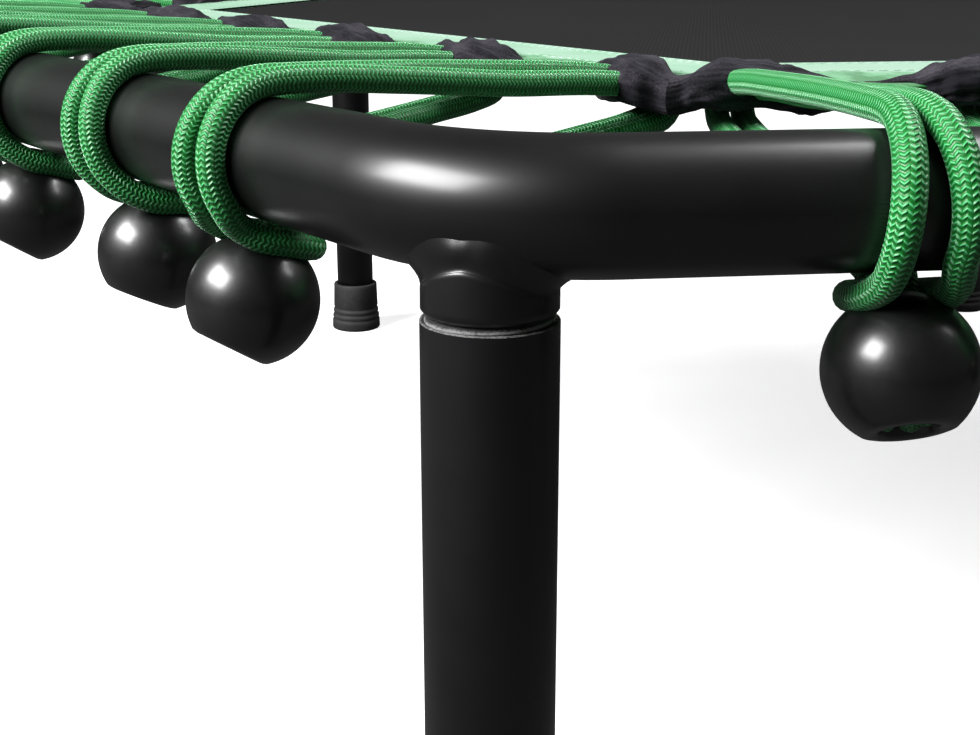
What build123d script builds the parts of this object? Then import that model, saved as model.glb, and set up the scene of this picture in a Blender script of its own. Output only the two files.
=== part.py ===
from build123d import *
import os
from math import cos, pi, radians, sin, sqrt, tan

# A six-sided fitness trampoline: a ring of bent steel tube on six screw-on legs, with a woven mat
# hung in it by 36 elastic cords. Each cord is a doubled loop that is closed by a ball toggle.
# Millimetres, +Z up, origin on the floor under the middle, one corner of the ring towards -Y.

# Driving dimensions
side_length = 590.0  # side of the hexagon through the tube's centre line
tube_diameter = 32.0
tube_wall = 1.5
bend_radius = 55.0  # centre line of the bend at each corner
frame_height = 300.0  # centre line of the ring above the floor
collar_diameter = 31.6
collar_draft = 0.3  # the collar's radius is this much smaller where it meets the tube
seat_drop = 26.2  # from the tube's centre line down to the leg's seat
seat_bevel = 2.5  # height of the cone that the leg's rim closes on
thread_diameter = 28.7  # mean diameter of the thread, just inside the leg's bore
stub_reach = 39.7  # from the tube's centre line down to the spigot's end
foot_diameter = 43.2
foot_height = 42.0
foot_floor = 6.0  # rubber under the end of the tube
foot_taper = 2.6  # degrees
cords_per_side = 6
first_cord = 96.0  # from the hexagon's corner to the nearest cord
cord_diameter = 8.0
ball_diameter = 36.0
mat_gap = 138.0  # from the tube's centre line to the mat's edge
loop_gap = 124.0  # from the tube's centre line to the strap loops that the cords hook
border_width = 44.0
border_thickness = 1.2
loop_width = 22.0  # opening of a strap loop, which takes both strands of its cord
mat_rise = 12.0  # top of the mat above the tube's centre line
mat_thickness = 1.6

# Worked out from those
tube_radius = tube_diameter / 2
bore_radius = tube_radius - tube_wall
half_side = side_length / 2
inradius = half_side * sqrt(3)
corner_reach = side_length - bend_radius * (1 / cos(radians(30)) - 1)
seat_height = frame_height - seat_drop
cord_pitch = (side_length - 2 * first_cord) / (cords_per_side - 1)
cord_places = [(k - (cords_per_side - 1) / 2) * cord_pitch for k in range(cords_per_side)]
cord_clearance = 0.4
wrap_radius = tube_radius + cord_diameter / 2 + cord_clearance  # the cord's line around the tube
strap_height = 6.0
strap_thickness = 3.0
strap_level = mat_rise - mat_thickness - strap_height / 2  # middle of the strap, from the tube's axis
corner_angles = [270 + 60 * n for n in range(6)]

os.makedirs("parts", exist_ok=True)


def save(shape, name):
    export_step(shape, f"parts/{name}.step")


def on_side(shape, number):
    """Turn a shape from a side's own frame (x along the side, y inwards, z up) to its place."""
    outward = corner_angles[number - 1] + 30
    spot = Pos(inradius * cos(radians(outward)), inradius * sin(radians(outward)), frame_height)
    return spot * Rot(0, 0, outward + 90) * shape


def at_corner(shape, number):
    """Move a shape that is modelled around the leg's axis, with z from the floor, to its corner."""
    angle = radians(corner_angles[number - 1])
    return Pos(corner_reach * cos(angle), corner_reach * sin(angle), 0) * shape


def group(shapes):
    return Compound(children=list(shapes))


# Frame: two halves of the ring, each bent from one tube with three corners and butt-welded to the
# other in the middle of two opposite sides
tangent_length = bend_radius * tan(radians(30))
run_length = side_length - 2 * tangent_length
bore_flats = 12
bore_corner = bore_radius * sqrt(2 * pi / (bore_flats * sin(2 * pi / bore_flats)))
tube_outside = Circle(tube_radius)
tube_bore = RegularPolygon(bore_corner, bore_flats)  # nothing opens it: flats of the same area
saddle_flats = 20
saddle_cutter = RegularPolygon(tube_radius, saddle_flats, major_radius=False)


def side_run(section, number, first=-0.5, last=0.5):
    """The straight part of a side, from one fraction of its length to another."""
    start = Plane(origin=(first * run_length, 0, 0), x_dir=(0, 1, 0), z_dir=(1, 0, 0))
    return on_side(extrude(start * section, (last - first) * run_length), number)


def corner_bend(section, number):
    """The bend at a corner: a section of the tube turned 60 degrees about the bend's middle."""
    bend = Rot(0, 0, -30) * revolve(Plane.XZ * Pos(bend_radius, 0) * section, Axis.Z, 60)
    middle = side_length - bend_radius / cos(radians(30))
    angle = corner_angles[number - 1]
    spot = Pos(middle * cos(radians(angle)), middle * sin(radians(angle)), frame_height)
    return spot * Rot(0, 0, angle) * bend


def half_ring(section, first_corner):
    before = (first_corner + 4) % 6 + 1
    ring = side_run(section, before, first=0) + corner_bend(section, first_corner)
    for n in (first_corner, first_corner + 1):
        ring += side_run(section, n) + corner_bend(section, n + 1)
    return ring + side_run(section, first_corner + 2, last=0)


def frame_half(first_corner):
    return half_ring(tube_outside, first_corner) - half_ring(tube_bore, first_corner)


# Leg stub, welded under each corner: a collar with a saddle that fits the tube, a bevelled seat
# for the leg and the spigot that the leg screws on to
def leg_stub(number):
    collar, spigot, root = collar_diameter / 2, thread_diameter / 2, -2
    outline = [
        (0, root), (collar - collar_draft, root), (collar, seat_bevel - seat_drop),
        (spigot, -seat_drop), (spigot, -stub_reach), (0, -stub_reach),
    ]  # radius from the leg's axis, height from the tube's centre line
    face = make_face(Polyline(*[(x, 0, frame_height + z) for x, z in outline], close=True))
    return at_corner(revolve(face, Axis.Z), number) - corner_bend(saddle_cutter, number)


# Leg: a tube with an open threaded mouth, and a rubber foot pushed over its lower end
def leg_tube():
    length = seat_height - foot_floor
    return Pos(0, 0, foot_floor) * (
        extrude(Circle(tube_radius), length) - extrude(Circle(bore_radius), length)
    )


def foot_cap():
    flats, fit = 12, tube_radius + 0.1  # the socket's flats are just clear of the tube
    outside = extrude(RegularPolygon(foot_diameter / 2, flats), foot_height, taper=foot_taper)
    socket = extrude(RegularPolygon(fit, flats, major_radius=False), foot_height)
    return outside - Pos(0, 0, foot_floor) * socket


# Ball toggle: a ball with a flat where its two cord ends are knotted and a flat where they leave it
ball_radius = ball_diameter / 2
ball_depth = 38.3  # from the tube's centre line to the ball's middle
ball_bearing = radians(83)  # below the horizontal, on the outer side
ball_lean = 33.0  # degrees that the ball's axis leans in from the vertical
ball_top = 11.5  # flat that the cord leaves by, from the ball's middle
ball_bottom = -14.7  # flat with the knots
neck_length = 7.5  # straight cord above the ball
ball_middle = Vector(0, -ball_depth * cos(ball_bearing), -ball_depth * sin(ball_bearing))
ball_axis = Vector(0, sin(radians(ball_lean)), cos(radians(ball_lean)))
cord_exit = ball_middle + ball_axis * ball_top


def toggle_ball():
    flats, bands = 8, 3
    levels = [ball_bottom + (ball_top - ball_bottom) * n / bands for n in range(bands + 1)]
    rings = []
    for z in levels:
        r = sqrt(ball_radius**2 - z**2)
        rings.append([(r * cos(2 * pi * k / flats), r * sin(2 * pi * k / flats), z)
                      for k in range(flats)])
    faces = [Face(Wire.make_polygon(rings[0])), Face(Wire.make_polygon(rings[-1]))]
    for low, high in zip(rings, rings[1:]):
        for k in range(flats):
            m = (k + 1) % flats
            faces.append(Face(Wire.make_polygon([low[k], low[m], high[m], high[k]])))
    ball = Solid(Shell(faces))
    return Pos(*ball_middle) * Rot(-ball_lean, 0, 0) * ball


# Elastic cord: both strands together as one band that leaves the ball, goes round the strap's
# loop and back over the tube, and hooks under it next to the ball
def cord_line():
    drop = strap_height / 2 + cord_diameter / 2 + 2 * cord_clearance  # half the two runs' distance
    shoulder, tip = loop_gap + strap_thickness * 2, loop_gap + strap_thickness * 3
    neck = cord_exit + ball_axis * neck_length
    points = [(cord_exit.Y, cord_exit.Z), (neck.Y, neck.Z), (shoulder, strap_level - drop)]
    points += [(tip, strap_level), (shoulder, strap_level + drop)]
    start, end, chords = 84, 236, 4
    step = (end - start) / chords
    reach = wrap_radius / cos(radians(step / 2))
    for n in range(chords + 1):
        angle = radians(start + step * n)
        points.append((reach * cos(angle), reach * sin(angle)))
    return points


def elastic_cord():
    band = trace(Polyline(*cord_line()), line_width=cord_diameter)
    width = 2 * cord_diameter + cord_clearance
    return Plane(origin=(-width / 2, 0, 0), x_dir=(0, 1, 0), z_dir=(1, 0, 0)) * extrude(band, width)


# Mat: one woven sheet, a coloured border strip along each edge, and a strap sewn under the edge
# that stands out in a loop for each cord
def mat_bed():
    across_corners = (inradius - mat_gap) / cos(radians(30))
    sheet = extrude(RegularPolygon(across_corners, 6), mat_thickness)
    return Pos(0, 0, frame_height + mat_rise - mat_thickness) * Rot(0, 0, 30) * sheet


def mat_border():
    outer, inner = mat_gap, mat_gap + border_width
    corners = []
    for depth, sign in ((outer, -1), (outer, 1), (inner, 1), (inner, -1)):
        corners.append((sign * (half_side - depth * tan(radians(30))), depth))
    outline = make_face(Polyline(*corners, close=True))
    return Pos(0, 0, mat_rise) * extrude(outline, border_thickness)


def edge_strap():
    sewn, mouth = mat_gap + 5, loop_width / 2
    root = mouth + 0.5  # each loop is a little wider where it is sewn down
    points = []
    for place in cord_places:
        points += [(place - root, sewn), (place - mouth, loop_gap)]
        points += [(place + mouth, loop_gap), (place + root, sewn)]
    strap = extrude(trace(Polyline(*points), line_width=strap_thickness), strap_height)
    return Pos(0, 0, strap_level - strap_height / 2) * strap


save(frame_half(1), "frame_half_front")
save(frame_half(4), "frame_half_back")
save(group(leg_stub(n) for n in range(1, 7)), "leg_stubs")
save(mat_bed(), "mat_bed")
for n in range(1, 7):
    save(at_corner(leg_tube(), n), f"leg_tube_{n}")
    save(at_corner(foot_cap(), n), f"foot_cap_{n}")
    save(on_side(mat_border(), n), f"mat_border_{n}")
    save(on_side(edge_strap(), n), f"edge_strap_{n}")
    for shape, name in ((elastic_cord(), "elastic_cords"), (toggle_ball(), "toggle_balls")):
        row = group(on_side(Pos(x, 0, 0) * shape, n) for x in cord_places)
        save(row, f"{name}_{n}")
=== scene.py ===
import bpy
import math
import random
import numpy as np
from mathutils import Matrix, Vector, noise


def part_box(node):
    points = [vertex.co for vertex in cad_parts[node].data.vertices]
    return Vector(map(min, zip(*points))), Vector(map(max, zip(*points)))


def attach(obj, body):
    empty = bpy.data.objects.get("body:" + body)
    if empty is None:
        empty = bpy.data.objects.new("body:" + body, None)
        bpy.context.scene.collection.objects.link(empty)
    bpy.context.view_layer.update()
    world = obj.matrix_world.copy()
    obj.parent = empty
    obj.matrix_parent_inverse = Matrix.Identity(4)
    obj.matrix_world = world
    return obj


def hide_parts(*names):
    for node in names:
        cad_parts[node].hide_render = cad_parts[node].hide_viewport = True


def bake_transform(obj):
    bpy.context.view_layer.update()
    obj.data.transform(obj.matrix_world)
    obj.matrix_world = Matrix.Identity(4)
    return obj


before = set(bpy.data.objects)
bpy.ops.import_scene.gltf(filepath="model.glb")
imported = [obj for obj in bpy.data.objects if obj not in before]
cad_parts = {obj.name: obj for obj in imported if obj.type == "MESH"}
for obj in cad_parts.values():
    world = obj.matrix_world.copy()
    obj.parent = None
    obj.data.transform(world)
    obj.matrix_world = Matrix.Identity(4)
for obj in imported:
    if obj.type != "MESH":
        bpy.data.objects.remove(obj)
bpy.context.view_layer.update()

# where things are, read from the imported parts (metres)
ringLow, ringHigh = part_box("frame_half_front")
legLow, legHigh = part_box("leg_tube_1")
stubLow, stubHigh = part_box("leg_stubs")
matLow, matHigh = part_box("mat_bed")
borderLow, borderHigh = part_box("mat_border_2")
footLow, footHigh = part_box("foot_cap_1")
tubeRadius = (ringHigh.z - ringLow.z) / 2
axisHeight = (ringHigh.z + ringLow.z) / 2
inradius = ringHigh.x - tubeRadius  # from the middle of the mat to a side's centre line
sideLength = inradius * 2 / math.sqrt(3)
legReach = -(legLow.y + legHigh.y) / 2  # from the middle of the mat to a leg's axis
cos30 = math.cos(math.radians(30))
bendRadius = (sideLength - legReach) / (1 / cos30 - 1)
legRadius = (legHigh.x - legLow.x) / 2
seatDrop = axisHeight - legHigh.z
stubDrop = axisHeight - stubLow.z
matTop = matHigh.z - axisHeight
matThickness = matHigh.z - matLow.z
matGap = inradius - matHigh.x  # from the tube's centre line in to the mat's edge
cornerAngles = [270 + 60 * n for n in range(6)]
cordPitch = 0.0796
cordPlaces = [(k - 2.5) * cordPitch for k in range(6)]
print("frame read:", round(sideLength, 4), round(bendRadius, 4), round(matGap, 4))


# x along the ring, y inwards, z up from the tube's centre line
def ringMatrix(degrees, reach):
    angle = math.radians(degrees)
    spot = Vector((reach * math.cos(angle), reach * math.sin(angle), axisHeight))
    return Matrix.Translation(spot) @ Matrix.Rotation(angle + math.pi / 2, 4, "Z")


def sideMatrix(n):
    return ringMatrix(cornerAngles[n - 1] + 30, inradius)


# on the leg's axis
def cornerMatrix(n):
    return ringMatrix(cornerAngles[n - 1], legReach)


# angles at even steps around a full turn
def fullTurn(count):
    return [2 * math.pi * k / count for k in range(count)]


# meshes
def meshPiece(name, verts, faces, material, body=None, nodes=(), uvs=None):
    mesh = bpy.data.meshes.new(name)
    mesh.from_pydata([tuple(v) for v in verts], [], faces)
    if uvs is not None:
        layer = mesh.uv_layers.new(name="UVMap")
        layer.data.foreach_set("uv", np.array(uvs, float).ravel())
    mesh.materials.append(material)
    mesh.polygons.foreach_set("use_smooth", [True] * len(mesh.polygons))
    mesh.update()
    piece = bpy.data.objects.new(name, mesh)
    bpy.context.scene.collection.objects.link(piece)
    finishPiece(piece, body, nodes)
    return piece


def finishPiece(piece, body, nodes=()):
    if body:
        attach(piece, body)
    if nodes:
        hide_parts(*nodes)


class Builder:  # collects several shapes in one mesh, with a UV for each face corner
    def __init__(self):
        self.verts, self.faces, self.uvs = [], [], []

    # joins rows of points with faces; closed also joins each row's last point to its first
    def grid(self, rows, uRange=(0, 1), vValues=None, closed=False, place=None):
        base, across = len(self.verts), len(rows[0])
        for row in rows:
            self.verts += [place @ Vector(p) for p in row] if place else [Vector(p) for p in row]
        steps = across if closed else across - 1
        vValues = vValues or [k / (len(rows) - 1) for k in range(len(rows))]
        for i in range(len(rows) - 1):
            for j in range(steps):
                k = (j + 1) % across
                a, b = base + i * across, base + (i + 1) * across
                self.faces.append((a + j, a + k, b + k, b + j))
                u0 = uRange[0] + (uRange[1] - uRange[0]) * j / steps
                u1 = uRange[0] + (uRange[1] - uRange[0]) * (j + 1) / steps
                v0, v1 = vValues[i], vValues[i + 1]
                self.uvs += [(u0, v0), (u1, v0), (u1, v1), (u0, v1)]

    # closes a ring of points with a fan from its middle
    def fan(self, row, centre, place=None, flip=False):
        base = len(self.verts)
        points = list(row) + [centre]
        self.verts += [place @ Vector(p) for p in points] if place else [Vector(p) for p in points]
        count = len(row)
        for j in range(count):
            k = (j + 1) % count
            face = (base + k, base + j, base + count) if flip else (base + j, base + k, base + count)
            self.faces.append(face)
            self.uvs += [(0, 0), (1, 0), (0.5, 0.5)]

    # turns a list of (radius, height) about Z; from the bottom up it faces outwards
    def lathe(self, profile, around=64, place=None, closeStart=False, closeEnd=False):
        rows = [[(r * math.cos(a), r * math.sin(a), z) for a in fullTurn(around)] for r, z in profile]
        self.grid(rows, closed=True, place=place)
        if closeStart:
            self.fan(rows[0], (0, 0, profile[0][1]), place, flip=True)
        if closeEnd:
            self.fan(rows[-1], (0, 0, profile[-1][1]), place)

    # a round tube along a list of points, closed at its ends; U goes around and V is the length in metres
    def tube(self, path, radius, around=16, place=None, up=(0, 0, 1)):
        points = [Vector(p) for p in path]
        rows, lengths, travelled = [], [], 0.0
        normal = None
        for i, p in enumerate(points):
            ahead = points[min(i + 1, len(points) - 1)] - points[max(i - 1, 0)]
            ahead.normalize()
            if normal is None:
                normal = Vector(up) - ahead * ahead.dot(Vector(up))
            normal = (normal - ahead * ahead.dot(normal)).normalized()
            side = ahead.cross(normal)
            rows.append([p + (normal * math.cos(a) + side * math.sin(a)) * radius for a in fullTurn(around)])
            if i:
                travelled += (p - points[i - 1]).length
            lengths.append(travelled)
        self.grid(rows, vValues=lengths, closed=True, place=place)
        self.fan(rows[0], points[0], place, flip=True)
        self.fan(rows[-1], points[-1], place)

    def piece(self, name, material, body=None, slot=None, nodes=()):
        return meshPiece(name, self.verts, self.faces, material, body, nodes, self.uvs)


curveSteps = 24  # for each stretch between two given points


def between(a, b, start, end, t):
    return a * ((end - t) / (end - start)) + b * ((t - start) / (end - start))


# points at even steps along a smooth curve that passes through the given ones
def smoothPath(points, step):
    p = [Vector(q) for q in points]
    p = [p[0] * 2 - p[1]] + p + [p[-1] * 2 - p[-2]]
    dense = []
    for i in range(1, len(p) - 2):
        a, b, c, d = p[i - 1], p[i], p[i + 1], p[i + 2]
        t0, t1 = 0.0, max((b - a).length, 1e-6) ** 0.5
        t2 = t1 + max((c - b).length, 1e-6) ** 0.5
        t3 = t2 + max((d - c).length, 1e-6) ** 0.5
        for k in range(curveSteps):
            t = t1 + (t2 - t1) * k / curveSteps
            middle = between(b, c, t1, t2, t)
            first = between(between(a, b, t0, t1, t), middle, t0, t2, t)
            last = between(middle, between(c, d, t2, t3, t), t1, t3, t)
            dense.append(between(first, last, t1, t2, t))
    dense.append(p[-2])
    total = sum((dense[i + 1] - dense[i]).length for i in range(len(dense) - 1))
    count = max(2, round(total / step))
    out, travelled, target = [dense[0]], 0.0, total / count
    for i in range(len(dense) - 1):
        length = (dense[i + 1] - dense[i]).length
        while travelled + length >= target and len(out) < count:
            out.append(dense[i].lerp(dense[i + 1], (target - travelled) / length))
            target += total / count
        travelled += length
    return out + [dense[-1]]


# 0 to 1 with a soft start and end
def eased(t):
    return t * t * (3 - 2 * t)


# a node in a tree, with its settings and its inputs set or linked
def putNode(tree, kind, inputs=None, **settings):
    node = tree.nodes.new(kind)
    for key, value in settings.items():
        setattr(node, key, value)
    for key, value in (inputs or {}).items():
        if isinstance(value, bpy.types.NodeSocket):
            tree.links.new(value, node.inputs[key])
        else:
            node.inputs[key].default_value = value
    return node


def calcNode(tree, operation, a, b=0.0, c=0.0):
    return putNode(tree, "ShaderNodeMath", {0: a, 1: b, 2: c}, operation=operation).outputs[0]


# materials
def shader(material):
    return material.node_tree.nodes["Principled BSDF"]


# surface: constants for the shader's own sockets
def newMaterial(name, colour, surface):
    material = bpy.data.materials.new(name)
    material.use_nodes = True
    material.diffuse_color = (*colour, 1)
    for socket, value in surface.items():
        shader(material).inputs[socket].default_value = value
    return material


def connect(material, value, socket):
    material.node_tree.links.new(value, shader(material).inputs[socket])


def addNode(material, kind, inputs=None, **settings):
    return putNode(material.node_tree, "ShaderNode" + kind, inputs, **settings)


def maths(material, operation, a, b=0.0):
    return calcNode(material.node_tree, operation, a, b)


def plus(material, a, b):
    return maths(material, "ADD", a, b)


def times(material, a, b):
    return maths(material, "MULTIPLY", a, b)


# a noise value swung about zero
def swung(material, value, amount):
    return times(material, maths(material, "SUBTRACT", value, 0.5), amount)


# a sine or cosine of a value, brought to run from 0 to 1
def ripple(material, kind, value, scale):
    return plus(material, times(material, maths(material, kind, times(material, value, scale)), 0.5), 0.5)


# a value spread from one number to another
def spread(material, value, low, high, start=0.0, end=1.0):
    return addNode(material, "MapRange", {"Value": value, "From Min": start, "From Max": end,
                                          "To Min": low, "To Max": high}).outputs[0]


def ramp(material, factor, stops):
    node = addNode(material, "ValToRGB", {"Fac": factor})
    elements = node.color_ramp.elements
    for k, (place, colour) in enumerate(stops):
        element = elements[k] if k < 2 else elements.new(place)
        element.position = place
        element.color = (*colour, 1)
    return node.outputs["Color"]


def paint(material, factor, stops):
    connect(material, ramp(material, factor, stops), "Base Color")


def mixed(material, factor, a, b):
    return addNode(material, "Mix", {0: factor, 6: a, 7: b}, data_type="RGBA").outputs[2]


def noiseNode(material, coords, scale, detail=2.0, roughness=0.5):
    return addNode(material, "TexNoise", {"Vector": coords, "Scale": scale, "Detail": detail,
                                          "Roughness": roughness}).outputs["Fac"]


def bump(material, height, strength, distance, normal=None):
    inputs = {"Height": height, "Strength": strength, "Distance": distance}
    if normal is not None:
        inputs["Normal"] = normal
    return addNode(material, "Bump", inputs).outputs["Normal"]


def objectCoords(material):
    return addNode(material, "TexCoord").outputs["Object"]


def uvAxes(material):
    return addNode(material, "SeparateXYZ", {0: addNode(material, "TexCoord").outputs["UV"]}).outputs[:2]


# a plain surface: broad scuffs in its colour and fine grain in its bump
def makePlain(name, look):
    material = newMaterial(name, look["colour"], look["surface"])
    coords = objectCoords(material)
    grain, scuff = (noiseNode(material, coords, *look[key]) for key in ("grain", "scuff"))
    paint(material, scuff, zip(look["wear"], (look["colour"], look["worn"])))
    if "roughness" in look:
        followed = grain if look["follows"] == "grain" else scuff
        connect(material, spread(material, followed, *look["roughness"]), "Roughness")
    connect(material, bump(material, grain, *look["bump"]), "Normal")
    return material


powderCoat = {"colour": (0.0015, 0.0015, 0.0016), "worn": (0.003, 0.003, 0.0032), "wear": (0.35, 0.7),
              "grain": (3600, 3, 0.65), "scuff": (60, 3, 0.5), "bump": (0.2, 0.0001),
              "follows": "grain", "roughness": (0.36, 0.50),
              "surface": {"Specular IOR Level": 0.25, "Coat Weight": 0.6, "Coat Roughness": 0.27}}
ballPlastic = {"colour": (0.0015, 0.0015, 0.0016), "worn": (0.003, 0.003, 0.0032), "wear": (0.4, 0.8),
               "grain": (900, 3, 0.6), "scuff": (90, 4, 0.7), "bump": (0.08, 0.0003),
               "follows": "scuff", "roughness": (0.31, 0.50),
               "surface": {"Specular IOR Level": 0.45, "Coat Weight": 0.7, "Coat Roughness": 0.23}}
footRubber = {"colour": (0.014, 0.014, 0.014), "worn": (0.04, 0.04, 0.04), "wear": (0.4, 0.85),
              "grain": (700, 4, 0.6), "scuff": (50, 4, 0.7), "bump": (0.25, 0.0005),
              "surface": {"Roughness": 0.72}}
threadSteel = {"spigot": (0.27, 0.27, 0.27), "mouth": (0.24, 0.235, 0.23), "flank": (0.06, 0.06, 0.06),
               "root": (0.005, 0.005, 0.005), "dust": 1900, "smear": 330, "roughness": 0.5, "metallic": 0.25}


# worn steel on the crests and black in the roots: the crest attribute is 0 in a root and 1 on a crest
def makeThreadSteel(name, crestColour):
    material = newMaterial(name, crestColour, {})
    coords = objectCoords(material)
    height = addNode(material, "Attribute", attribute_name="crest").outputs["Fac"]
    dust = noiseNode(material, coords, threadSteel["dust"], 5, 0.75)
    smear = noiseNode(material, coords, threadSteel["smear"], 4)
    worn = plus(material, height, swung(material, dust, 1.9))
    worn = plus(material, worn, swung(material, smear, 0.8))
    stops = [(0.25, threadSteel["root"]), (0.6, threadSteel["flank"]), (0.95, crestColour)]
    paint(material, worn, stops)
    connect(material, times(material, worn, threadSteel["metallic"]), "Metallic")
    connect(material, plus(material, times(material, dust, 0.3), threadSteel["roughness"]), "Roughness")
    connect(material, bump(material, dust, 1.0, 0.0005), "Normal")
    return material


cordBraid = {"yarn": (0.0, 0.21, 0.018), "shade": (0.0, 0.11, 0.010), "lit": (0.08, 0.48, 0.17),
             "wales": 10, "pitch": 0.00135, "depth": 0.00044,
             "surface": {"Roughness": 0.42, "Specular IOR Level": 0.6, "Sheen Weight": 0.55,
                         "Sheen Roughness": 0.25, "Sheen Tint": (0.6, 1.0, 0.7, 1)}}


# rows of slanted stitches along the cord: U runs around it and V is the length in metres
def makeCordBraid(name):
    material = newMaterial(name, cordBraid["yarn"], cordBraid["surface"])
    u, v = uvAxes(material)
    column = maths(material, "FRACT", times(material, u, cordBraid["wales"]))
    across = maths(material, "ABSOLUTE", maths(material, "SUBTRACT", column, 0.5))
    row = plus(material, maths(material, "DIVIDE", v, cordBraid["pitch"]), across)
    wave = maths(material, "POWER", ripple(material, "COSINE", row, 2 * math.pi), 1.7)
    groove = maths(material, "POWER", times(material, across, 2.0), 4.0)
    wale = maths(material, "SUBTRACT", 1.0, times(material, groove, 0.55))
    height = times(material, plus(material, times(material, wave, 0.88), 0.12), wale)
    fuzz = noiseNode(material, objectCoords(material), 2400, 2, 0.6)
    height = plus(material, height, times(material, fuzz, 0.18))
    stops = [(0.15, cordBraid["shade"]), (0.5, cordBraid["yarn"]), (0.9, cordBraid["lit"])]
    paint(material, height, stops)
    connect(material, bump(material, height, 0.9, cordBraid["depth"]), "Normal")
    return material


matWeave = {"thread": (0.014, 0.014, 0.0145), "gap": (0.006, 0.006, 0.0065), "pitch": 0.0011,
            "surface": {"Roughness": 0.8, "Specular IOR Level": 0.12}}


def makeMatWeave(name):
    material = newMaterial(name, matWeave["thread"], matWeave["surface"])
    coords = objectCoords(material)
    turn = addNode(material, "Mapping", {"Vector": coords, "Rotation": (0, 0, math.radians(30))})
    split = addNode(material, "SeparateXYZ", {0: turn.outputs[0]})
    sx, sy = (maths(material, "SINE", times(material, split.outputs[k], math.pi / matWeave["pitch"]))
              for k in (0, 1))
    weave = plus(material, times(material, times(material, sx, sy), 0.5), 0.5)
    cloud = noiseNode(material, coords, 9, 4)
    tone = plus(material, times(material, weave, 0.7), times(material, cloud, 0.3))
    paint(material, tone, [(0.1, matWeave["gap"]), (0.8, matWeave["thread"])])
    connect(material, bump(material, weave, 0.35, 0.0003), "Normal")
    return material


# mint is the cloth's green lightened by a painted sheen; middle and shade are painted shade towards the outer
# edge, by the webbing
borderCloth = {"mint": (0.26, 0.43, 0.31), "worn": (0.17, 0.38, 0.22), "middle": (0.10, 0.32, 0.14),
               "shade": (0.005, 0.14, 0.02),
               "surface": {"Roughness": 0.6, "Sheen Weight": 0.3, "Sheen Tint": (0.8, 1.0, 0.9, 1)}}


# mint cloth, its mint the cloth's green lightened by a painted sheen, with painted shade along the outer edge
# by the webbing: U runs along the side in metres, and V is 0 at the outer edge and 1 at the mat
def makeBorderCloth(name):
    material = newMaterial(name, borderCloth["mint"], borderCloth["surface"])
    u, v = uvAxes(material)
    coords = objectCoords(material)
    rumple = noiseNode(material, coords, 70, 4, 0.6)
    weave = noiseNode(material, coords, 1800, 2, 0.5)
    inward = plus(material, v, swung(material, rumple, 0.9))
    # painted shade at the outer edge, rising through middle to the mint with its painted sheen
    clean = ramp(material, inward,
                 [(0.20, borderCloth["shade"]), (0.30, borderCloth["middle"]), (0.46, borderCloth["mint"])])
    faded = ramp(material, inward, [(0.24, borderCloth["shade"]), (0.42, borderCloth["worn"])])
    patches = spread(material, noiseNode(material, coords, 24, 5, 0.65), 0, 1, 0.42, 0.66)
    connect(material, mixed(material, patches, clean, faded), "Base Color")
    normal = bump(material, rumple, 0.25, 0.004)
    connect(material, bump(material, weave, 0.2, 0.0003, normal), "Normal")
    return material


# the lighter grey is partly dust and partly a painted sheen on the fuzzy cloth
webbingCloth = {"black": (0.002, 0.002, 0.004), "dustAndSheen": (0.060, 0.053, 0.066), "rib": 0.0012,
                "streaks": (170.0, 62.0),
                "surface": {"Roughness": 0.85, "Specular IOR Level": 0.2, "Sheen Weight": 0.05,
                            "Sheen Tint": (0.8, 0.75, 0.95, 1)}}


# black webbing with cross ribs and lighter grey streaks, partly dust and partly a painted sheen on the fuzzy
# cloth: U goes around it in metres and V is the length in metres
def makeWebbingCloth(name):
    material = newMaterial(name, webbingCloth["black"], webbingCloth["surface"])
    u, v = uvAxes(material)
    fluff = noiseNode(material, objectCoords(material), 1500, 4, 0.7)
    acrossScale, alongScale = webbingCloth["streaks"]
    streaks = addNode(material, "CombineXYZ", {0: times(material, u, acrossScale),
                                               1: times(material, v, alongScale)})
    rumple = noiseNode(material, streaks.outputs[0], 1.0, 3, 0.6)
    ribs = ripple(material, "SINE", u, 2 * math.pi / webbingCloth["rib"])
    tone = plus(material, times(material, fluff, 0.4), times(material, rumple, 0.6))
    # black with lighter grey streaks, partly dust and partly painted sheen
    paint(material, tone, [(0.46, webbingCloth["black"]), (0.70, webbingCloth["dustAndSheen"])])
    normal = bump(material, rumple, 0.6, 0.003)
    normal = bump(material, ribs, 0.5, 0.0003, normal)
    connect(material, bump(material, fluff, 0.6, 0.0005, normal), "Normal")
    return material


sewingThread = {"colour": (0.34, 0.46, 0.40), "low": (0.28, 0.42, 0.34), "high": (0.42, 0.54, 0.47),
                "surface": {"Roughness": 0.6}}


def makeSewingThread(name):
    material = newMaterial(name, sewingThread["colour"], sewingThread["surface"])
    tone = noiseNode(material, objectCoords(material), 900, 2)
    paint(material, tone, [(0.3, sewingThread["low"]), (0.7, sewingThread["high"])])
    return material


ringPaint = makePlain("powderCoatBlack", powderCoat)
spigotSteel = makeThreadSteel("wornSpigotSteel", threadSteel["spigot"])
mouthSteel = makeThreadSteel("wornMouthSteel", threadSteel["mouth"])
ballBlack = makePlain("ballPlasticBlack", ballPlastic)
cordGreen = makeCordBraid("braidedCordGreen")
matBlack = makeMatWeave("wovenMatBlack")
borderMint = makeBorderCloth("borderClothMint")
webbingBlack = makeWebbingCloth("webbingBlack")
soleRubber = makePlain("footRubberBlack", footRubber)
stitchMint = makeSewingThread("sewingThreadMint")
print("materials made")

# ring: each half is one bent tube; the halves meet in a low weld bead
ringTube = {"around": 72, "bendSteps": 22, "weldHeight": 0.0007, "weldWidth": 0.0028, "weldBeads": 40,
            "weldAround": 160}


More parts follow.
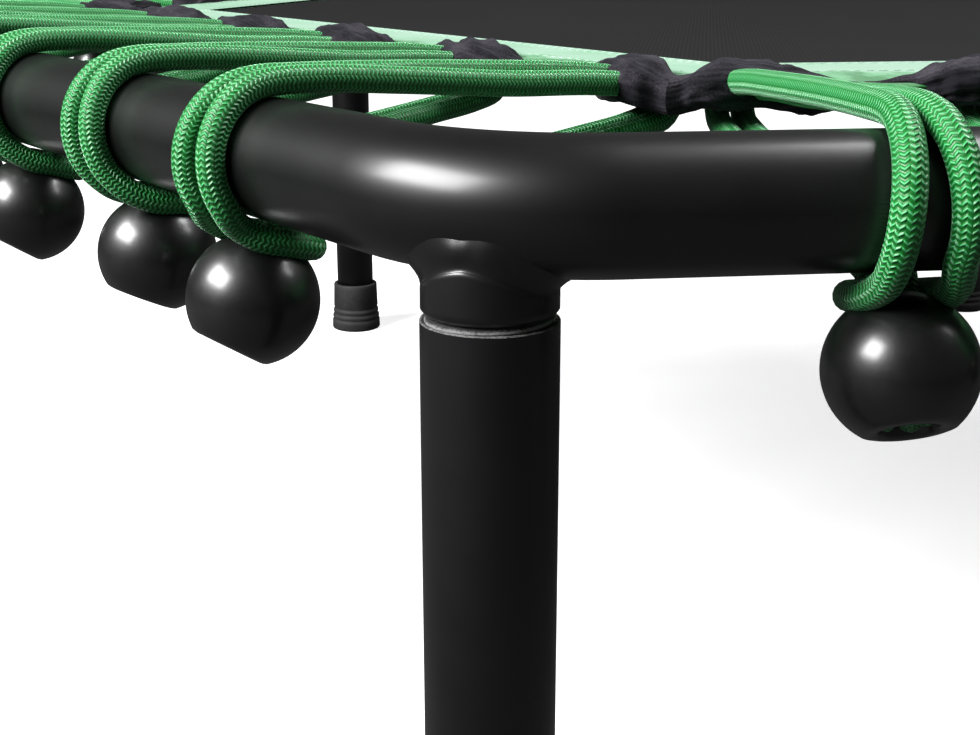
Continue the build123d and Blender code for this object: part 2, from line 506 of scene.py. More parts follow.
def halfRingPath(firstCorner):
    startAngle = math.radians(cornerAngles[firstCorner - 1] - 30)
    ends = [Vector((inradius * math.cos(a), inradius * math.sin(a), axisHeight))
            for a in (startAngle, startAngle + math.pi)]
    points = [ends[0]]
    reach = sideLength - bendRadius / cos30
    for n in range(3):
        angle = math.radians(cornerAngles[firstCorner - 1] + 60 * n)
        middle = Vector((reach * math.cos(angle), reach * math.sin(angle), axisHeight))
        for k in range(ringTube["bendSteps"] + 1):
            turn = angle + math.radians(-30 + 60 * k / ringTube["bendSteps"])
            points.append(middle + Vector((math.cos(turn), math.sin(turn), 0)) * bendRadius)
    return points + [ends[1]]


for firstCorner, half in ((1, "front"), (4, "back")):
    shape = Builder()
    shape.tube(halfRingPath(firstCorner), tubeRadius, ringTube["around"])
    shape.piece("ringTube_" + half, ringPaint, "frame", "frame_paint", ["frame_half_" + half])


# one low bead around the tube, a little uneven along its edge
def weldRows():
    rows = []
    beads = ringTube["weldBeads"]
    for k in range(9):
        x = (k / 8 - 0.5) * ringTube["weldWidth"] * 2
        rise = math.cos(math.pi * (k / 8 - 0.5)) * ringTube["weldHeight"]
        row = []
        for a in fullTurn(ringTube["weldAround"]):
            r = tubeRadius - 0.0001 + rise * (1 + 0.25 * math.cos(beads * a))
            row.append((x + 0.0003 * math.sin(beads * a), r * math.cos(a), r * math.sin(a)))
        rows.append(row)
    return rows


# butt welds in the middle of sides 3 and 6
shape = Builder()
for n in (3, 6):
    shape.grid(weldRows(), closed=True, place=sideMatrix(n))
shape.piece("ringWelds", ringPaint, "frame", "frame_paint")
print("ring made")

# leg stubs: weld flare, collar, bevel, then the threaded spigot
stub = {"collar": (stubHigh.x - stubLow.x) / 2 - legReach * cos30, "weldFront": 0.0149,
        "weldSide": 0.0195, "topFront": 0.0122, "topSide": 0.0191, "swell": 0.0006, "shoulder": 0.0006,
        "foot": 0.0222, "rim": 0.0237, "bevelEnd": 0.0245, "bevelRadius": 0.0150, "major": 0.0149,
        "depth": 0.00065, "pitch": 0.0021, "around": 144}


# how far below the tube's centre line its surface is, at a place around the leg's axis
def tubeUnder(r, angle):
    x, y = r * math.cos(angle), r * math.sin(angle)
    off = math.hypot(x, bendRadius - y) - bendRadius
    return math.sqrt(max(tubeRadius ** 2 - off ** 2, 0))


# the flare's and shoulder's outline at one angle around the leg's axis: radius and height
def stubStrip(a):
    side = abs(math.cos(a)) ** 1.6
    uneven = noise.noise(Vector((math.cos(a) * 2.2, math.sin(a) * 2.2, 3.0)))
    rOut = stub["weldFront"] + (stub["weldSide"] - stub["weldFront"]) * side + 0.00035 * uneven
    zOut = -tubeUnder(rOut, a) + 0.0003
    zIn = -(stub["topFront"] + (stub["topSide"] - stub["topFront"]) * side)
    lump = noise.noise(Vector((math.cos(a) * 4, math.sin(a) * 4, 8.0)))
    bead = stub["swell"] * (1 + 0.6 * lump) * (1 - 0.5 * side)  # the weld swells above the collar
    step = stub["shoulder"] * (1 - side)  # the shoulder runs out into the weld at the sides
    strip = []
    for k in range(9):
        t = k / 8
        swell = bead * math.sin(math.pi * min(t * 1.25, 1)) - 0.0006 * side * math.sin(math.pi * t)
        r = rOut + (stub["collar"] - step - rOut) * t + swell
        strip.append((r, zOut + (zIn - zOut) * (t + side * 0.3 * t * (t - 1))))
    for k in range(1, 6):  # rounded shoulder on top of the collar
        turn = math.pi / 2 * k / 5
        strip.append((stub["collar"] - step * (1 - math.sin(turn)),
                      zIn - 0.0013 * (1 - math.cos(turn)) - 0.0001))
    return strip


def stubRows():
    angles = fullTurn(stub["around"])
    strips = [[(r * math.cos(a), r * math.sin(a), z) for r, z in stubStrip(a)] for a in angles]
    rows = [[strip[i] for strip in strips] for i in range(len(strips[0]))]
    for r, z in ((stub["collar"], -stub["foot"]), (stub["collar"], -stub["rim"] + 0.0003),
                 (stub["collar"] - 0.0002, -stub["rim"]), (stub["bevelRadius"], -stub["bevelEnd"] + 0.0001),
                 (stub["bevelRadius"] - 0.0003, -stub["bevelEnd"]),
                 (stub["major"] - 0.0009, -stub["bevelEnd"] - 0.0001)):
        rows.append([(r * math.cos(a), r * math.sin(a), z) for a in angles])
    return rows[::-1]


shape = Builder()
for n in range(1, 7):
    shape.grid(stubRows(), closed=True, place=cornerMatrix(n))
shape.piece("stubCollars", ringPaint, "frame", "frame_paint")
print("stub collars made")


# a geometry tree with these sizes as its inputs, and its entry node
def startTree(name, sizes, seed=None):
    tree = bpy.data.node_groups.new(name, "GeometryNodeTree")
    face = tree.interface
    for size, value in sizes.items():
        face.new_socket(size, in_out="INPUT", socket_type="NodeSocketFloat").default_value = value
    if seed is not None:
        face.new_socket("Seed", in_out="INPUT", socket_type="NodeSocketInt").default_value = seed
    face.new_socket("Material", in_out="INPUT", socket_type="NodeSocketMaterial")
    face.new_socket("Geometry", in_out="OUTPUT", socket_type="NodeSocketGeometry")
    return tree, tree.nodes.new("NodeGroupInput").outputs


# ends a tree with real meshes in the material that it is given
def endTree(tree, entry, shape):
    real = putNode(tree, "GeometryNodeRealizeInstances", {"Geometry": shape})
    painted = putNode(tree, "GeometryNodeSetMaterial",
                      {"Geometry": real.outputs[0], "Material": entry["Material"]})
    putNode(tree, "NodeGroupOutput", {0: painted.outputs[0]})
    return tree


# threads: one node tree winds every screw thread, outside on the spigots and inside the leg mouths
def threadTree():
    tree, entry = startTree("windThread", {"Radius": 0.01435, "Depth": 0.0006, "Pitch": 0.0019, "Top": 0.0,
                                           "Length": 0.0135, "Runout": 0.0012, "Chamfer": 0.0009})

    def calc(operation, a, b=0.0, c=0.0):
        return calcNode(tree, operation, a, b, c)

    sheet = putNode(tree, "GeometryNodeMeshGrid",
                    {"Size X": 1.0, "Size Y": 1.0, "Vertices X": 97, "Vertices Y": 72})
    place = putNode(tree, "ShaderNodeSeparateXYZ", {0: putNode(tree, "GeometryNodeInputPosition").outputs[0]})
    around = calc("ADD", place.outputs[0], 0.5)
    turn = calc("MULTIPLY", around, 2 * math.pi)
    down = calc("MULTIPLY", calc("ADD", place.outputs[1], 0.5), entry["Length"])
    phase = calc("ADD", calc("DIVIDE", down, entry["Pitch"]), around)
    saw = calc("PINGPONG", phase, 0.5)  # 0 in the root, 0.5 on the crest
    crest = calc("SMOOTH_MIN", calc("MULTIPLY", saw, 2.3), 1.0, 0.25)
    start = calc("MINIMUM", calc("DIVIDE", down, entry["Runout"]), 1.0)
    crest = calc("MULTIPLY", crest, start)
    left = calc("SUBTRACT", entry["Length"], down)
    near = calc("SUBTRACT", 1.0, calc("DIVIDE", left, entry["Chamfer"]))
    tip = calc("MULTIPLY", calc("MAXIMUM", near, 0.0), entry["Chamfer"])
    inset = calc("ADD", calc("MULTIPLY", calc("SUBTRACT", 1.0, crest), entry["Depth"]), tip)
    radius = calc("SUBTRACT", entry["Radius"], inset)
    spot = putNode(tree, "ShaderNodeCombineXYZ", {0: calc("MULTIPLY", radius, calc("COSINE", turn)),
                                                  1: calc("MULTIPLY", radius, calc("SINE", turn)),
                                                  2: calc("SUBTRACT", entry["Top"], down)}).outputs[0]
    marked = putNode(tree, "GeometryNodeStoreNamedAttribute",
                     {"Geometry": sheet.outputs["Mesh"], "Name": "crest", "Value": crest},
                     data_type="FLOAT", domain="POINT")
    wound = putNode(tree, "GeometryNodeSetPosition", {"Geometry": marked.outputs[0], "Position": spot})
    joined = putNode(tree, "GeometryNodeMergeByDistance", {"Geometry": wound.outputs[0], "Distance": 1e-6})
    return endTree(tree, entry, joined.outputs[0])


# the plain mesh that a node tree makes with these inputs
def grownMesh(tree, values):
    holder = bpy.data.objects.new("holder", bpy.data.meshes.new("holder"))
    bpy.context.scene.collection.objects.link(holder)
    modifier = holder.modifiers.new("grow", "NODES")
    modifier.node_group = tree
    sockets = {item.name: item.identifier for item in tree.interface.items_tree if item.in_out == "INPUT"}
    for name, value in values.items():
        modifier[sockets[name]] = value
    bpy.context.view_layer.update()
    grown = holder.evaluated_get(bpy.context.evaluated_depsgraph_get())
    mesh = bpy.data.meshes.new_from_object(grown)
    holder.modifiers.remove(modifier)
    bpy.data.objects.remove(holder)
    return mesh


# one mark for each point, 0 in a thread's root and 1 on its crest
def markCrests(piece, marks):
    piece.data.attributes.new("crest", "FLOAT", "POINT").data.foreach_set("value", marks)


# copies of a thread's mesh, each moved to its place, in one piece that keeps the crest attribute
def threadPiece(name, mesh, places, material, body, nodes=(), flip=False):
    verts, faces, marks = [], [], []
    for place in places:
        base = len(verts)
        verts += [place @ v.co for v in mesh.vertices]
        for p in mesh.polygons:
            corners = [base + i for i in p.vertices]
            faces.append(corners[::-1] if flip else corners)
        marks += [d.value for d in mesh.attributes["crest"].data]
    piece = meshPiece(name, verts, faces, material)
    markCrests(piece, marks)
    finishPiece(piece, body, nodes)


threads = threadTree()
spigotThread = grownMesh(threads, {"Radius": stub["major"], "Depth": stub["depth"], "Pitch": stub["pitch"],
                                   "Top": -stub["bevelEnd"], "Length": stubDrop - stub["bevelEnd"] - 0.0002,
                                   "Runout": 0.0006, "Chamfer": 0.0012, "Material": spigotSteel})
threadPiece("spigotThreads", spigotThread, [cornerMatrix(n) for n in range(1, 7)], spigotSteel, "frame",
            ["leg_stubs"])
shape = Builder()
for n in range(1, 7):
    endRadius = stub["major"] - 0.0012
    ends = [(0.0, -stubDrop + 0.0004), (endRadius - 0.0026, -stubDrop + 0.0004),
            (endRadius - 0.0024, -stubDrop), (endRadius, -stubDrop), (endRadius + 0.0001, -stubDrop + 0.0004)]
    shape.lathe(ends, 96, cornerMatrix(n))
shape.piece("spigotEnds", ringPaint, "frame", "frame_paint")
print("threads made")

# legs: painted tube, bare mouth with its inner thread, rubber foot
leg = {"rimBevel": 0.0003, "threadLength": 0.0165, "root": 0.0154, "depth": 0.0014, "boreLength": 0.12,
       "around": 96}
footSole = {"radius": (footHigh.x - footLow.x) / 2, "height": footHigh.z, "ribs": 3, "ribStep": 0.005,
            "floor": 0.006}
mouthThread = grownMesh(threads, {"Radius": leg["root"], "Depth": leg["depth"], "Pitch": stub["pitch"],
                                  "Top": -seatDrop - 0.0006, "Length": leg["threadLength"],
                                  "Runout": 0.0001, "Chamfer": 0.0001, "Material": mouthSteel})


def footProfile(foot):
    r, top = footSole["radius"], foot + footSole["height"]
    profile = [(0.0, foot + 0.0012), (0.005, foot + 0.0012), (0.006, foot), (0.009, foot),
               (0.010, foot + 0.0012), (0.013, foot + 0.0012), (0.014, foot), (r - 0.0016, foot),
               (r - 0.0005, foot + 0.0005), (r, foot + 0.0016), (r - 0.0002, foot + 0.006)]
    for k in range(footSole["ribs"]):
        z = foot + 0.009 + k * footSole["ribStep"]
        taper = r - 0.0002 - 0.0006 * k
        profile += [(taper, z - 0.001), (taper - 0.0009, z), (taper - 0.0009, z + 0.001),
                    (taper - 0.0003, z + 0.002)]
    return profile + [(r - 0.0022, top - 0.004), (r - 0.0022, top - 0.0012), (r - 0.0027, top - 0.0003),
                      (legRadius + 0.001, top), (legRadius + 0.0001, top - 0.0004),
                      (legRadius + 0.0001, top - 0.006)]


for n in range(1, 7):
    body = f"leg_{n}"
    place = cornerMatrix(n)
    top, foot = -seatDrop, -axisHeight
    rimStart = (legRadius, top - leg["rimBevel"])
    shape = Builder()
    end = foot + footSole["floor"]
    shape.lathe([(legRadius - 0.001, end), (legRadius, end + 0.0005), (legRadius, top - 0.05),
                 (legRadius, top - 0.001), rimStart], leg["around"], place, closeStart=True)
    shape.piece(f"legTube_{n}", ringPaint, body, "frame_paint", [f"leg_tube_{n}"])
    shape = Builder()
    innermost = leg["root"] - leg["depth"]
    shape.lathe([rimStart, (legRadius - 0.0001, top - 0.0001), (legRadius - 0.0002, top),
                 (leg["root"] + 0.0001, top), (leg["root"] - 0.0001, top - 0.0002),
                 (innermost + 0.0002, top - 0.0006)], leg["around"], place)
    shape.lathe([(innermost, top - depth) for depth in (leg["threadLength"], 0.05, leg["boreLength"])],
                leg["around"], place)
    rim = shape.piece(f"legRim_{n}", mouthSteel)
    marks = [0.75 if v.co.z > axisHeight + top - 0.002 else 0.1 for v in rim.data.vertices]
    markCrests(rim, marks)
    finishPiece(rim, body)
    threadPiece(f"legThread_{n}", mouthThread, [place], mouthSteel, body, flip=True)
    shape = Builder()
    shape.lathe(footProfile(foot), leg["around"], place)
    shape.piece(f"footCap_{n}", soleRubber, body, "foot_rubber", [f"foot_cap_{n}"])
print("legs made")

# balls: turned about their own axis, which leans in; the cord's ends are knotted in the recess below
toggle = {"radius": 0.018, "depth": 0.0383, "bearing": math.radians(83), "lean": math.radians(33),
          "bottom": -0.0147, "hole": 0.0062, "recess": 0.0068, "arcSteps": 26, "around": 56}
ballMiddle = Vector((0, -toggle["depth"] * math.cos(toggle["bearing"]),
                     -toggle["depth"] * math.sin(toggle["bearing"])))


def ballProfile():
    r, low, recess, hole = (toggle[key] for key in ("radius", "bottom", "recess", "hole"))
    edge = math.sqrt(r * r - low * low)
    points = [(recess - 0.0008, low + 0.009), (recess, low + 0.0085), (recess, low + 0.0008),
              (recess + 0.0006, low + 0.0001), (edge - 0.0012, low), (edge - 0.0004, low + 0.00012)]
    start, end = math.asin(low / r) + 0.04, math.acos(hole / r)
    for k in range(toggle["arcSteps"] + 1):
        a = start + (end - start) * k / toggle["arcSteps"]
        points.append((r * math.cos(a), r * math.sin(a)))
    top = r * math.sin(end)
    return points + [(hole - 0.0005, top + 0.0001), (hole - 0.001, top - 0.0007), (hole - 0.001, top - 0.008)]


# where one toggle hangs: turned about the tube and slid along it
def hangingPlace(hang):
    return Matrix.Translation((hang["slip"], 0, 0)) @ Matrix.Rotation(hang["turn"], 4, "X")


def ballPlace(hang):
    return hangingPlace(hang) @ Matrix.Translation(ballMiddle) @ Matrix.Rotation(-toggle["lean"], 4, "X")


# elastic cords: each is one closed loop of two strands. They leave the ball, pass under the tube to
# the strap's loop, come back over the tube and hook round their own neck above the ball.
cord = {"radius": 0.00378, "around": 16, "step": 0.0022, "runGap": 0.0041, "wrapGap": 0.0073, "wrap": 0.0199,
        "rises": {10: 0.0004, 11: 0.0007, 12: 0.0010, 13: 0.0012, 14: 0.0006},  # one strand lies higher
        "length": 0.14, "sway": 0.0010, "swing": 0.05, "seed": 11, "blend": (0.026, 0.118)}


# how far along the side the loop's middle stands at a distance in from the tube
def loopMiddle(hang, y):
    return hang["slide"] + (hang["tip"] - hang["slide"]) / cord["length"] * max(0, y)


# one strand from the ball's recess round to the middle of its hook, and that middle, in the side's frame
def strandRoute(hang):
    gap = cord["runGap"]
    ball = [(-0.0015, -0.0096, -0.0446), (-0.0024, -0.0045, -0.0367), (-0.0030, 0.0049, -0.0222),
            (-0.0037, 0.0100, -0.0180)]
    laid = [(-gap, y, z) for y, z in (
        (0.024, -0.0156), (0.068, -0.0098), (0.112, -0.0046), (0.1300, -0.0022),  # in under the tube
        (0.1390, 0.0004), (0.1416, 0.0048), (0.1370, 0.0096), (0.1260, 0.0118),  # round in the webbing
        (0.106, 0.0140), (0.078, 0.0157), (0.042, 0.0183), (0.014, 0.0199))]  # back over the tube
    for degrees in (95, 115, 135, 155, 175, 195, 213):
        a, t = math.radians(degrees), (degrees - 95) / 118
        apart = gap + (cord["wrapGap"] - gap) * math.sin(math.pi / 2 * t) ** 1.3
        laid.append((-apart + hang["shear"] * max(0, t - 0.3),
                     cord["wrap"] * math.cos(a), cord["wrap"] * math.sin(a)))
    hook = [(-0.0082, -0.0124, -0.0160), (-0.0096, -0.0050, -0.0203), (-0.0097, 0.0022, -0.0222),
            (-0.0082, 0.0088, -0.0240), (-0.0043, 0.0118, -0.0249)]
    swing = hangingPlace(hang)
    laid = [(x + loopMiddle(hang, y), y, z) for x, y, z in laid]
    return [tuple(swing @ Vector(p)) for p in ball] + laid + [tuple(swing @ Vector(p)) for p in hook], \
        tuple(swing @ Vector((0, 0.0126, -0.0251)))


def loopPath(hang):
    one, apex = strandRoute(hang)
    other = []
    for k, (x, y, z) in enumerate(one):
        swinging = k < 4 or k >= len(one) - 5
        middle = hang["slip"] if swinging else loopMiddle(hang, y)
        lean = 0 if swinging or k < 16 else hang["shear"] * max(0, (k - 16) / 6 - 0.3)
        other.append((2 * (middle + lean) - x, y, z))
    for k, rise in cord["rises"].items():
        one[k] = (one[k][0], one[k][1], one[k][2] + rise)
        other[k] = (other[k][0], other[k][1], other[k][2] - rise)
    return smoothPath(one + [apex] + other[::-1], cord["step"])


random.seed(cord["seed"])
hangs = {}
for n in range(1, 7):
    for k in range(6):
        slide = random.uniform(-1, 1) * cord["sway"]
        hangs[n, k] = {"turn": random.uniform(-1, 1) * cord["swing"], "slide": slide, "shear": 0.0,
                       "slip": slide + random.uniform(-1, 1) * cord["sway"],
                       "tip": slide - (0.009 if n == 6 else 0)}
hangs[6, 5] = {"turn": 0.0, "slide": 0.0046, "slip": 0.0020, "shear": 0.0, "tip": 0.0040}
hangs[6, 4] = {"turn": 0.13, "slide": 0.0085, "slip": 0.0115, "shear": 0.0025, "tip": -0.0050}  # has slipped


knot = {"apart": 0.0022, "wide": 0.0026, "deep": 0.0030, "rise": 0.0035, "wave": 0.0012, "thick": 0.0019,
        "around": 8, "steps": 18}


# a knotted cord end, to one side of the recess in the ball's underside
def knotRing(sign):
    return [(sign * knot["apart"] + knot["wide"] * math.cos(a), knot["deep"] * math.sin(a),
             toggle["bottom"] + knot["rise"] + knot["wave"] * math.sin(2 * a + sign))
            for a in fullTurn(knot["steps"]) + [2 * math.pi]]


for n in range(1, 7):
    cords, balls, knots = Builder(), Builder(), Builder()
    for k, x in enumerate(cordPlaces):
        place = sideMatrix(n) @ Matrix.Translation((x, 0, 0))
        hang = hangs[n, k]
        cords.tube(loopPath(hang), cord["radius"], cord["around"], place, up=(1, 0, 0))
        balls.lathe(ballProfile(), toggle["around"], place @ ballPlace(hang), closeStart=True, closeEnd=True)
        for sign in (-1, 1):
            knots.tube(knotRing(sign), knot["thick"], knot["around"], place @ ballPlace(hang))
    cordPiece = cords.piece(f"elasticCords_{n}", cordGreen, None, "cord_green", [f"elastic_cords_{n}"])
    start, end = (sideMatrix(n) @ Vector((0, y, 0)) for y in cord["blend"])
    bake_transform(cordPiece)
    balls.piece(f"toggleBalls_{n}", ballBlack, "frame", "ball_plastic", [f"toggle_balls_{n}"])
    knots.piece(f"cordKnots_{n}", cordGreen, "frame", "cord_green")
print("cords and balls made")

# webbing: one soft strap along each edge, narrow and twisted between the cords and gathered in a fold
# over each cord's end; the strap meets the next side's at the mat's corner. Each stop holds the
# distance along from a loop, the distance in from the tube, the height, half height and half thickness.
webbing = {"around": 46, "step": 0.0011, "fold": 0.0013, "width": 0.03, "end": 0.011, "twist": 0.7,
           "twistScale": 47, "foldAlong": (42, 22, -26), "foldAround": 1.7, "squareness": 0.85,
           "corner": (0.1315, 0.0085, 0.0060, 0.0085),
           "gathers": [(-0.038, 0.1340, 0.0086, 0.0030, 0.0021), (-0.026, 0.1350, 0.0094, 0.0040, 0.0030),
                       (-0.0165, 0.1335, 0.0106, 0.0052, 0.0085), (-0.0115, 0.1322, 0.0116, 0.0060, 0.0130),
                       (-0.0040, 0.1315, 0.0120, 0.0068, 0.0150), (0.0060, 0.1322, 0.0112, 0.0070, 0.0140),
                       (0.0140, 0.1340, 0.0096, 0.0068, 0.0108), (0.0230, 0.1355, 0.0078, 0.0058, 0.0070),
                       (0.0330, 0.1352, 0.0074, 0.0042, 0.0036), (0.0410, 0.1340, 0.0086, 0.0030, 0.0021)]}
mitre = math.tan(math.radians(30))  # how fast a side's strips shorten towards the middle


def webbingShape(dx):
    stops = webbing["gathers"]
    dx = min(max(dx, stops[0][0]), stops[-1][0])
    for a, b in zip(stops, stops[1:]):
        if dx <= b[0]:
            t = eased((dx - a[0]) / (b[0] - a[0]))
            return [a[i] + (b[i] - a[i]) * t for i in range(1, 5)]


# one ring of points around the webbing, at a share of the way along its side
def webbingRow(n, along, half, loops):
    x = along * half
    dx = min((x - p for p in loops), key=abs)
    ending = eased(min(1, (1 - abs(along)) * half / webbing["end"]))
    y, z, tall, thick = [c + (g - c) * ending for c, g in zip(webbing["corner"], webbingShape(dx))]
    bulk = min(1, max(0, (thick - 0.002) / 0.008))
    twist = webbing["twist"] * math.sin(x * webbing["twistScale"] + n) * (1 - bulk) * ending
    around, square = webbing["foldAround"], webbing["squareness"]
    start = Vector(webbing["foldAlong"]) * x + Vector((n * 7.3, 0, 0))
    row = []
    for a in fullTurn(webbing["around"]):
        c, s = math.cos(a), math.sin(a)
        spot = start + Vector((0, c, s)) * around
        fold = 0.5 - abs(noise.noise(spot)) * 1.7
        crease = noise.noise(spot * 2.1 + Vector((4, 9, 2)))
        push = (fold * 1.3 + crease * 0.6) * webbing["fold"] * (0.3 + bulk) * ending
        py = thick * math.copysign(abs(c) ** square, c) + push * c
        pz = tall * math.copysign(abs(s) ** square, s) + push * s
        across = y + py * math.cos(twist) - pz * math.sin(twist)
        height = z + py * math.sin(twist) + pz * math.cos(twist)
        row.append((along * (sideLength / 2 - across * mitre), across, height))
    return row


for n in range(1, 7):
    half = sideLength / 2 - webbing["corner"][0] * mitre
    loops = [x + hangs[n, k]["tip"] for k, x in enumerate(cordPlaces)]
    count = int(2 * half / webbing["step"])
    rows = [webbingRow(n, -1 + 2 * i / count, half, loops) for i in range(count + 1)]
    shape = Builder()
    shape.grid(rows, uRange=(0, webbing["width"]), vValues=[2 * matGap * i / count for i in range(count + 1)],
               closed=True, place=sideMatrix(n))
    for row, flip in ((rows[0], True), (rows[-1], False)):
        middle = Vector(row[0]).lerp(Vector(row[webbing["around"] // 2]), 0.5)
        shape.fan(row, middle, sideMatrix(n), flip=flip)
    shape.piece(f"edgeWebbing_{n}", webbingBlack, "mat", "strap_black", [f"edge_strap_{n}"])
print("webbing made")

# mat: one woven hexagon, with a mint border strip along each edge
matEdge = inradius - matGap
matSheet = {"rings": 30, "perSide": 24}


def hexRing(apothem, z):
    reach = apothem / cos30
    corners = [Vector((math.cos(a), math.sin(a), 0)) * reach for a in map(math.radians, cornerAngles)]
    return [a.lerp(b, k / matSheet["perSide"]) + Vector((0, 0, z))
            for a, b in zip(corners, corners[1:] + corners[:1]) for k in range(matSheet["perSide"])]


matHigher = axisHeight + matTop
matLower = matHigher - matThickness
steps = range(1, matSheet["rings"] + 1)
rows = [hexRing(matEdge * k / matSheet["rings"], matLower) for k in steps]
rows += [hexRing(matEdge + 0.0002, matHigher - matThickness / 2)]
rows += [hexRing(matEdge * k / matSheet["rings"], matHigher) for k in reversed(steps)]
shape = Builder()
shape.grid(rows, closed=True)
shape.fan(rows[0], (0, 0, matLower), flip=True)
shape.fan(rows[-1], (0, 0, matHigher))
matPiece = shape.piece("matSheet", matBlack, "mat", "mat_weave", ["mat_bed"])

borderStrip = {"thick": 0.0010, "inner": matGap + borderHigh.x - borderLow.x, "outer": 0.1285,
               "droopFrom": 0.148, "droop": 0.0030, "acrossSteps": 22, "alongSteps": 170, "wave": 0.0012,
               "waveAlong": 38, "waveAcross": 30, "rounding": 0.0005,
               "uWidth": 0.4}


# the strip lies flat along its inner edge and droops, a little wavy, past the mat's edge
def borderRows(n, lift):
    rows = []
    outer, inner, droopFrom = borderStrip["outer"], borderStrip["inner"], borderStrip["droopFrom"]
    for i in range(borderStrip["acrossSteps"] + 1):
        t = i / borderStrip["acrossSteps"]
        y = outer + (inner - outer) * t
        fall = max(0, (droopFrom - y) / (droopFrom - outer))
        reach = sideLength / 2 - y * mitre
        row = []
        for j in range(borderStrip["alongSteps"] + 1):
            along = -1 + 2 * j / borderStrip["alongSteps"]
            loose = (1 - t) ** 2 * (1 - along ** 6)
            spot = Vector((along * reach * borderStrip["waveAlong"] + n * 5.1,
                           y * borderStrip["waveAcross"], 0))
            wave = loose * borderStrip["wave"] * (0.5 + noise.noise(spot) + 0.6 * noise.noise(spot * 2.6))
            height = matTop + 0.0001 + lift + wave - borderStrip["droop"] * fall ** 1.6
            row.append((along * reach, y, height))
        rows.append(row)
    return rows


across = [1 - i / borderStrip["acrossSteps"] for i in range(borderStrip["acrossSteps"] + 1)]
for n in range(1, 7):
    top, low = borderRows(n, borderStrip["thick"]), borderRows(n, 0)
    rounding = borderStrip["rounding"]  # of the outer edge
    skirt = [[(x, y - rounding, z - rounding) for x, y, z in top[0]]]
    shape = Builder()
    shape.grid(low[::-1] + skirt + top, uRange=(0, borderStrip["uWidth"]),
               vValues=across + [0] + across[::-1], place=sideMatrix(n))
    shape.piece(f"matBorder_{n}", borderMint, "mat", "border_mint", [f"mat_border_{n}"])
print("mat made")


# stitches: a node tree lays a row of thread stitches along a straight line
def stitchTree():
    sizes = {"Length": 0.4, "Pitch": 0.0045, "Stitch": 0.0034, "Thick": 0.0003}
    tree, entry = startTree("sewRow", sizes, seed=3)

    def calc(operation, a, b=0.0):
        return calcNode(tree, operation, a, b)

    def vector(inputs):
        return putNode(tree, "ShaderNodeCombineXYZ", inputs).outputs[0]

    count = calc("FLOOR", calc("DIVIDE", entry["Length"], entry["Pitch"]))
    line = putNode(tree, "GeometryNodeMeshLine",
                   {"Count": count, "Start Location": vector({0: calc("MULTIPLY", entry["Length"], -0.5)}),
                    "Offset": vector({0: entry["Pitch"]})}, mode="OFFSET")
    shape = putNode(tree, "GeometryNodeMeshUVSphere", {"Segments": 6, "Rings": 4, "Radius": 0.5})
    lean = putNode(tree, "FunctionNodeRandomValue", {"Seed": entry["Seed"], 2: -0.12, 3: 0.12},
                   data_type="FLOAT")
    size = vector({0: entry["Stitch"], 1: entry["Thick"], 2: entry["Thick"]})
    laid = putNode(tree, "GeometryNodeInstanceOnPoints",
                   {"Points": line.outputs[0], "Instance": shape.outputs[0],
                    "Rotation": vector({2: lean.outputs[1]}), "Scale": size})
    return endTree(tree, entry, laid.outputs[0])


sewing = stitchTree()
stitchRows = {"insets": (0.0022, 0.0056, 0.0310), "lifts": (0.0001, 0.0001, 0.0003), "endGap": 0.006}
for n in range(1, 7):
    verts, faces = [], []
    for inset, lift in zip(stitchRows["insets"], stitchRows["lifts"]):
        y = borderStrip["inner"] - inset
        length = sideLength - 2 * y * mitre - stitchRows["endGap"]
        row = grownMesh(sewing, {"Length": length, "Seed": n, "Material": stitchMint})
        place = sideMatrix(n) @ Matrix.Translation((0, y, matTop + borderStrip["thick"] + lift))
        base = len(verts)
        verts += [place @ v.co for v in row.vertices]
        faces += [tuple(base + i for i in p.vertices) for p in row.polygons]
    meshPiece(f"borderStitches_{n}", verts, faces, stitchMint, "mat")
print("stitches made")

# stage, light and camera
studio = {"floor": (0.80, 0.80, 0.80), "white": 1.0, "dim": 0.07, "floorDim": 0.05, "glow": 0.7,
          "glowNear": 1.0, "glowFar": 2.6, "inGloss": 0.015,  # inGloss: share of the white seen in gloss
          "floorSurface": {"Roughness": 0.9, "Specular IOR Level": 0.1}, "reach": 9}


# 1 for what the camera sees and through glass, and a share of it in reflections
def seenShare(tree):
    path = putNode(tree, "ShaderNodeLightPath").outputs
    straight = calcNode(tree, "MAXIMUM", path["Is Camera Ray"], path["Is Transmission Ray"])
    return calcNode(tree, "MAXIMUM", straight,
                    calcNode(tree, "MULTIPLY", path["Is Glossy Ray"], studio["inGloss"]))


# the lamps fade with distance, so the floor's own glow rises to meet the white around it
def makeFloor(name):
    material = newMaterial(name, studio["floor"], studio["floorSurface"])
    tree = material.node_tree
    away = addNode(material, "VectorMath", {0: objectCoords(material)}, operation="LENGTH")
    rise = addNode(material, "MapRange", {"Value": away.outputs["Value"], "From Min": studio["glowNear"],
                                          "From Max": studio["glowFar"], "To Min": studio["glow"],
                                          "To Max": studio["white"]}, interpolation_type="SMOOTHSTEP")
    glow = addNode(material, "Emission", {"Color": (1, 1, 1, 1), "Strength": rise.outputs[0]})
    lit = addNode(material, "AddShader", {0: shader(material).outputs[0], 1: glow.outputs[0]})
    dim = addNode(material, "BsdfDiffuse", {"Color": [studio["floorDim"]] * 3 + [1]})
    pick = addNode(material, "MixShader", {0: seenShare(tree), 1: dim.outputs[0], 2: lit.outputs[0]})
    tree.links.new(pick.outputs[0], tree.nodes["Material Output"].inputs[0])
    return material


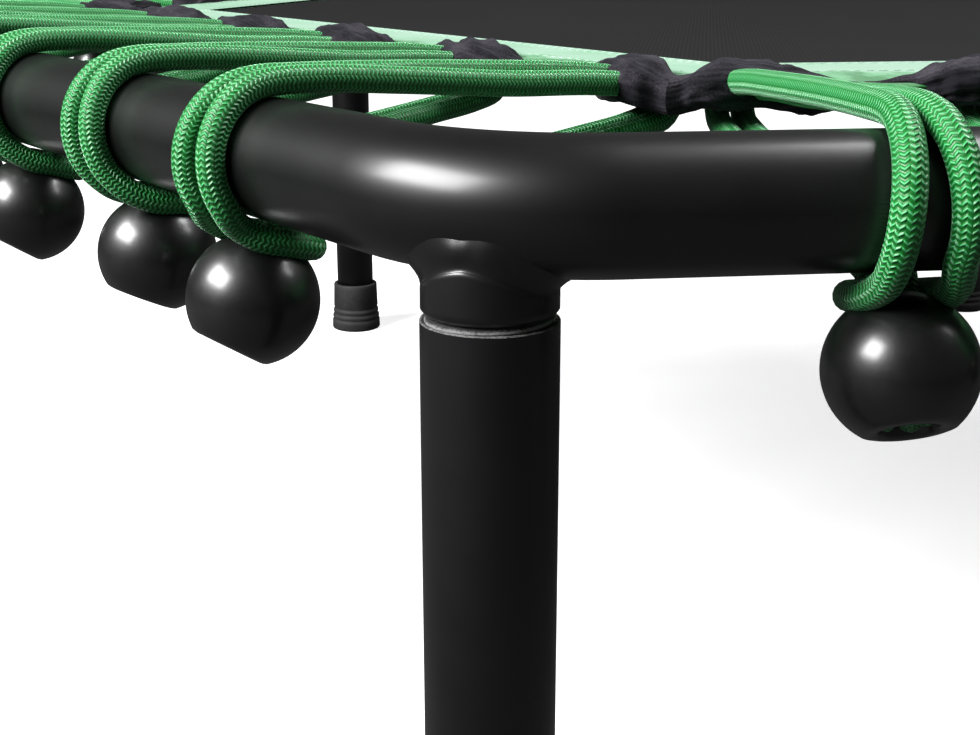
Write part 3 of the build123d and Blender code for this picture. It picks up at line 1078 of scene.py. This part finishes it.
reach = studio["reach"]
floor = meshPiece("floor", [(-reach, -reach, 0), (reach, -reach, 0), (reach, reach, 0), (-reach, reach, 0)],
                  [(0, 1, 2, 3)], makeFloor("floorPale"))

world = bpy.data.worlds.new("studio")
world.use_nodes = True
bpy.context.scene.world = world
sky = world.node_tree
strength = putNode(sky, "ShaderNodeMapRange", {"Value": seenShare(sky), "To Min": studio["dim"],
                                               "To Max": studio["white"]})
sky.nodes["Background"].inputs[0].default_value = (1, 1, 1, 1)
sky.links.new(strength.outputs[0], sky.nodes["Background"].inputs[1])


def softLamp(name, azimuth, elevation, distance, wide, tall, power):
    data = bpy.data.lights.new(name, "AREA")
    data.shape, data.size, data.size_y, data.energy = "RECTANGLE", wide, tall, power
    lamp = bpy.data.objects.new(name, data)
    a, e = math.radians(azimuth), math.radians(elevation)
    offset = Vector((math.cos(a) * math.cos(e), math.sin(a) * math.cos(e), math.sin(e)))
    lamp.location = frontCorner + offset * distance
    lamp.rotation_euler = (-offset).to_track_quat("-Z", "Y").to_euler()
    bpy.context.scene.collection.objects.link(lamp)


frontCorner = Vector((0, -legReach, axisHeight))
softLamp("keyLamp", 221, 36, 2.2, 1.5, 0.9, 142)
softLamp("fillLamp", 34, 38, 2.4, 0.45, 0.45, 5)
softLamp("topLamp", 55, 54, 2.4, 0.9, 0.9, 34)

lensView = {"lens": 54.8, "pitch": math.radians(16.8), "turn": math.radians(23),
            "away": 0.325, "above": 0.0603}
cameraData = bpy.data.cameras.new("camera")
cameraData.lens, cameraData.sensor_width = lensView["lens"], 36
cameraData.clip_start = 0.01
camera = bpy.data.objects.new("camera", cameraData)
bpy.context.scene.collection.objects.link(camera)
forward = Vector((-math.sin(lensView["turn"]), math.cos(lensView["turn"]), 0))
camera.location = frontCorner - forward * lensView["away"] + Vector((0, 0, lensView["above"]))
camera.rotation_euler = (math.pi / 2 - lensView["pitch"], 0, lensView["turn"])
bpy.context.scene.camera = camera
bpy.context.scene.view_settings.view_transform = "Standard"
print("stage, light and camera set")
